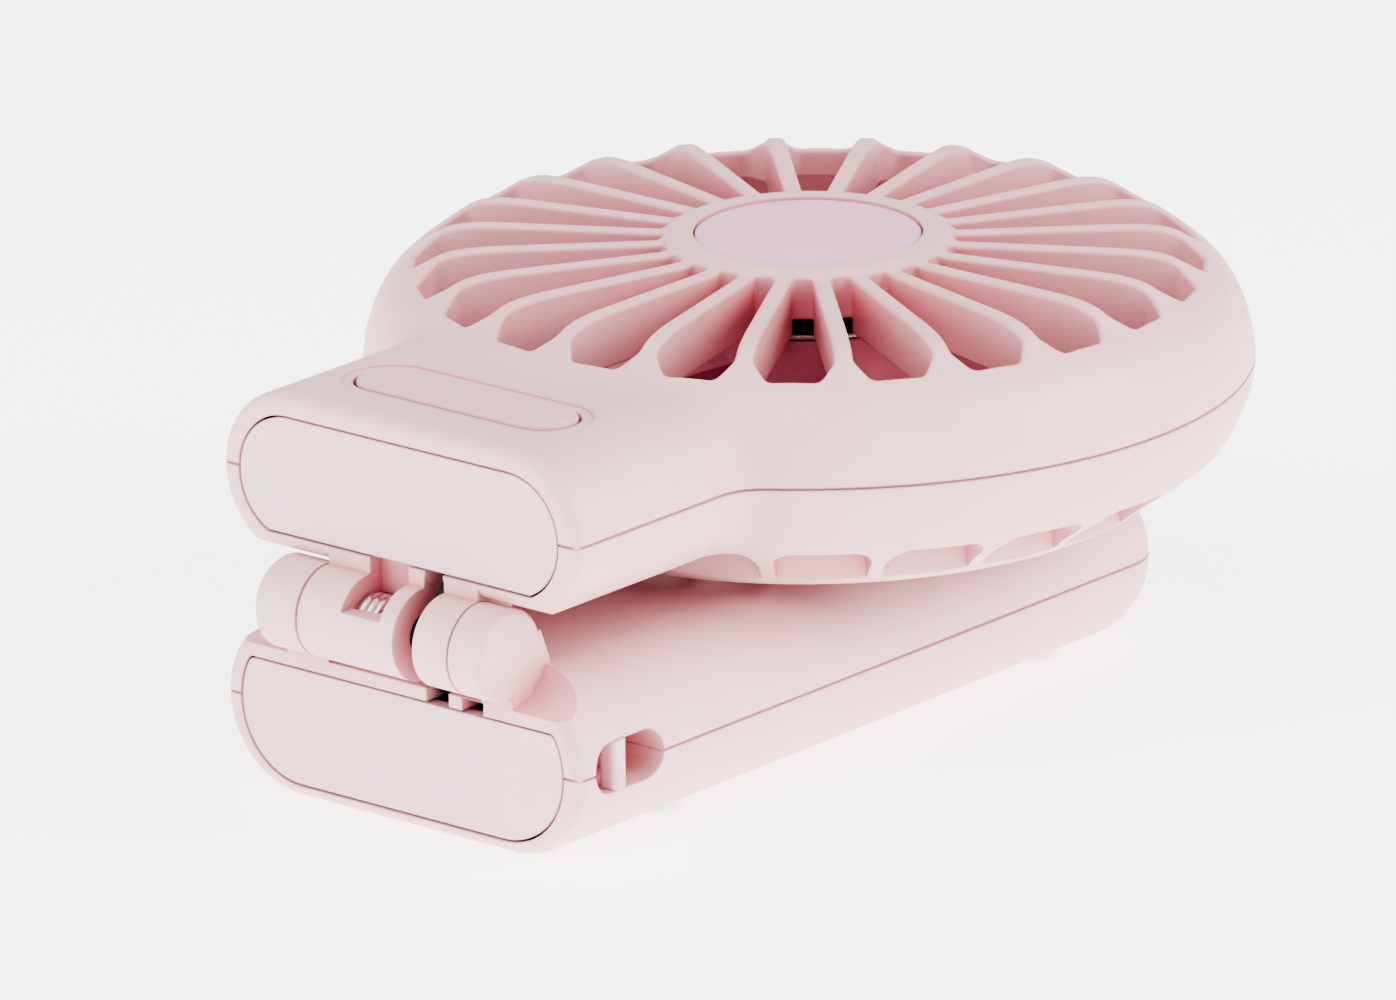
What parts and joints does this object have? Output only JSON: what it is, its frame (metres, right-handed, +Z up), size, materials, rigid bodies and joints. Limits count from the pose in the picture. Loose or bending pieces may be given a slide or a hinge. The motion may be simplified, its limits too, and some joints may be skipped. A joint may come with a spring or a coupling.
{
  "type": "folding handheld fan",
  "caption": "Rechargeable pocket fan folded flat: round head with deep radial vanes hinged over a flat rounded handle.",
  "frame": {"origin": "on the floor under the middle of the folded fan", "axes": "+Z up through the head's front grille, +Y from the hinge towards the head, +X along the hinge axis to the right"},
  "size_m": [0.0776, 0.0976, 0.0398],
  "materials": {
    "pink": "fine matte grain, pale pink",
    "cap": "smooth satin, pale pink",
    "button": "satin, pale pink",
    "plate": "smooth satin, pale lavender white",
    "fan": "satin, deeper pink",
    "steel": "ground and polished",
    "rotor": "nickel plated",
    "black": "moulded black",
    "wire": "soft black sleeve",
    "board": "green solder mask",
    "foil": "laminated pouch",
    "foam": "closed cell foam",
    "coil": "enamelled copper",
    "light": "clear light guide"
  },
  "bodies": {
    "handle": {"handle_upper_shell": "pink", "handle_lower_shell": "pink", "handle_end_cap": "cap", "strap_bar": "pink", "hinge_pin": "steel", "friction_spring": "steel", "cable_sleeve": "wire", "handle_wires": "wire", "battery_cell": "foil", "battery_pad": "foam", "protection_board": "board", "charge_board": "board", "usb_socket": "steel", "charge_lights": "light", "handle_screws": "steel"},
    "head": {"front_housing": "pink", "rear_housing": "pink", "neck_end_cap": "cap", "hub_plate": "plate", "motor_base": "black", "motor_coils": "coil", "neck_wires": "wire", "tact_switch": "black", "control_board": "board", "neck_screws": "steel"},
    "impeller": {"impeller": "fan", "motor_rotor": "rotor", "motor_shaft": "steel"},
    "button": {"speed_button": "button"}
  },
  "joints": [
    {"name": "fold", "type": "hinge", "parent": "handle", "child": "head", "pos_m": [0, -0.0447, 0.0178], "axis": [1, 0, 0], "range_deg": [0, 180]},
    {"name": "impeller_spin", "type": "hinge", "parent": "head", "child": "impeller", "pos_m": [0, 0.01, 0.03], "axis": [0, 0, 1], "continuous": true},
    {"name": "button_press", "type": "slide", "parent": "head", "child": "button", "axis": [0, 0, -1], "range_m": [0, 0.0006], "stiffness_N_per_m": 1500, "springref_m": -0.0006}
  ]
}
